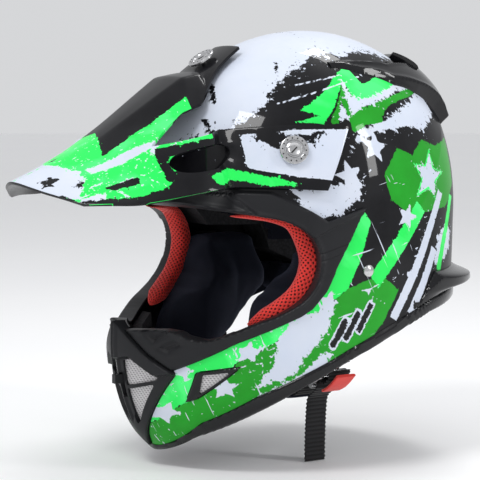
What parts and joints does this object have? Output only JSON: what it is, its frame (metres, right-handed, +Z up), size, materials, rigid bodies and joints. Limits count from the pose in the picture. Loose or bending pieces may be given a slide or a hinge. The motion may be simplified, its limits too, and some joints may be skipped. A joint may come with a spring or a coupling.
{
  "type": "motocross helmet",
  "caption": "Full-face off-road helmet with a long chin bar, an open eye port, a tilting peak held by turned screws, vents, removable padding and a D-ring chin strap.",
  "frame": {"origin": "middle of the wearer's head on the helmet's middle plane, about 142 mm under the crown", "axes": "+Z up, the helmet faces -Y, and the wearer's left is +X"},
  "size_m": [0.2482, 0.3908, 0.3427],
  "materials": {
    "shell_paint": "gloss clear coat over printed green, white and black graphics",
    "peak_paint": "gloss clear coat over printed green, white and black graphics",
    "gloss_black": "gloss black moulding",
    "satin_black": "satin black moulding with fine grain",
    "vent_mesh": "fine woven grey mesh",
    "foam": "expanded polystyrene and open foam, dark",
    "liner_fabric": "brushed black lining fabric",
    "red_mesh": "red three-dimensional spacer mesh",
    "webbing": "black woven webbing",
    "steel": "bright turned metal",
    "rubber": "matte rubber",
    "red_tab": "red folded tape"
  },
  "bodies": {
    "helmet": {"outer_shell": "shell_paint", "eps_liner": "foam", "chin_eps": "foam", "mouth_vent_filter": "foam", "comfort_liner": "liner_fabric", "neck_roll": "liner_fabric", "cheek_pad_left": "liner_fabric", "cheek_pad_right": "liner_fabric", "cheek_mesh_left": "red_mesh", "cheek_mesh_right": "red_mesh", "cheek_snap_left": "steel", "cheek_snap_right": "steel", "eyeport_trim": "satin_black", "mouth_vent_housing": "satin_black", "base_trim": "gloss_black", "rear_spoiler": "gloss_black", "nape_spoiler": "gloss_black", "rear_exhaust_left": "gloss_black", "rear_exhaust_right": "gloss_black", "side_vent_frame_left": "gloss_black", "side_vent_frame_right": "gloss_black", "side_vent_mesh_left": "vent_mesh", "side_vent_mesh_right": "vent_mesh", "mouth_vent_mesh_left": "vent_mesh", "mouth_vent_mesh_right": "vent_mesh", "brow_vent_grille_left": "vent_mesh", "brow_vent_grille_right": "vent_mesh", "peak_nut_left": "steel", "peak_nut_right": "steel", "peak_nut_centre": "steel", "peak_washer_left": "rubber", "peak_washer_right": "rubber", "peak_washer_centre": "rubber", "strap_rivet_left": "steel", "strap_rivet_right": "steel", "strap_anchor_left": "steel", "strap_anchor_right": "steel", "chin_strap_short": "webbing", "chin_strap_long": "webbing", "strap_sleeve": "liner_fabric", "d_ring_inner": "steel", "d_ring_outer": "steel"},
    "peak": {"peak": "peak_paint"},
    "peak_screw_left": {"peak_screw_left": "steel"},
    "peak_screw_right": {"peak_screw_right": "steel"},
    "peak_screw_centre": {"peak_screw_centre": "steel"},
    "mouth_vent_shutter": {"mouth_vent_shutter": "satin_black"},
    "pull_tab": {"pull_tab": "red_tab"}
  },
  "joints": [
    {"name": "peak_tilt", "type": "hinge", "parent": "helmet", "child": "peak", "pos_m": [0, -0.063, 0.0475], "axis": [-1, 0, 0], "range_deg": [-4, 4]},
    {"name": "peak_screw_left_turn", "type": "hinge", "parent": "helmet", "child": "peak_screw_left", "pos_m": [0.10077, -0.063, 0.0475], "axis": [0.8392, -0.4552, 0.2975], "continuous": true},
    {"name": "peak_screw_right_turn", "type": "hinge", "parent": "helmet", "child": "peak_screw_right", "pos_m": [-0.10077, -0.063, 0.0475], "axis": [-0.8392, -0.4552, 0.2975], "continuous": true},
    {"name": "peak_screw_centre_turn", "type": "hinge", "parent": "helmet", "child": "peak_screw_centre", "pos_m": [0, -0.07755, 0.11076], "axis": [0, -0.5731, 0.8195], "continuous": true},
    {"name": "mouth_vent_slide", "type": "slide", "parent": "helmet", "child": "mouth_vent_shutter", "axis": [0, 0.36, -0.933], "range_m": [0, 0.008]},
    {"name": "pull_tab_swing", "type": "hinge", "parent": "helmet", "child": "pull_tab", "pos_m": [0.07978, -0.012, -0.13996], "axis": [0, 1, 0], "range_deg": [0, 40]}
  ]
}
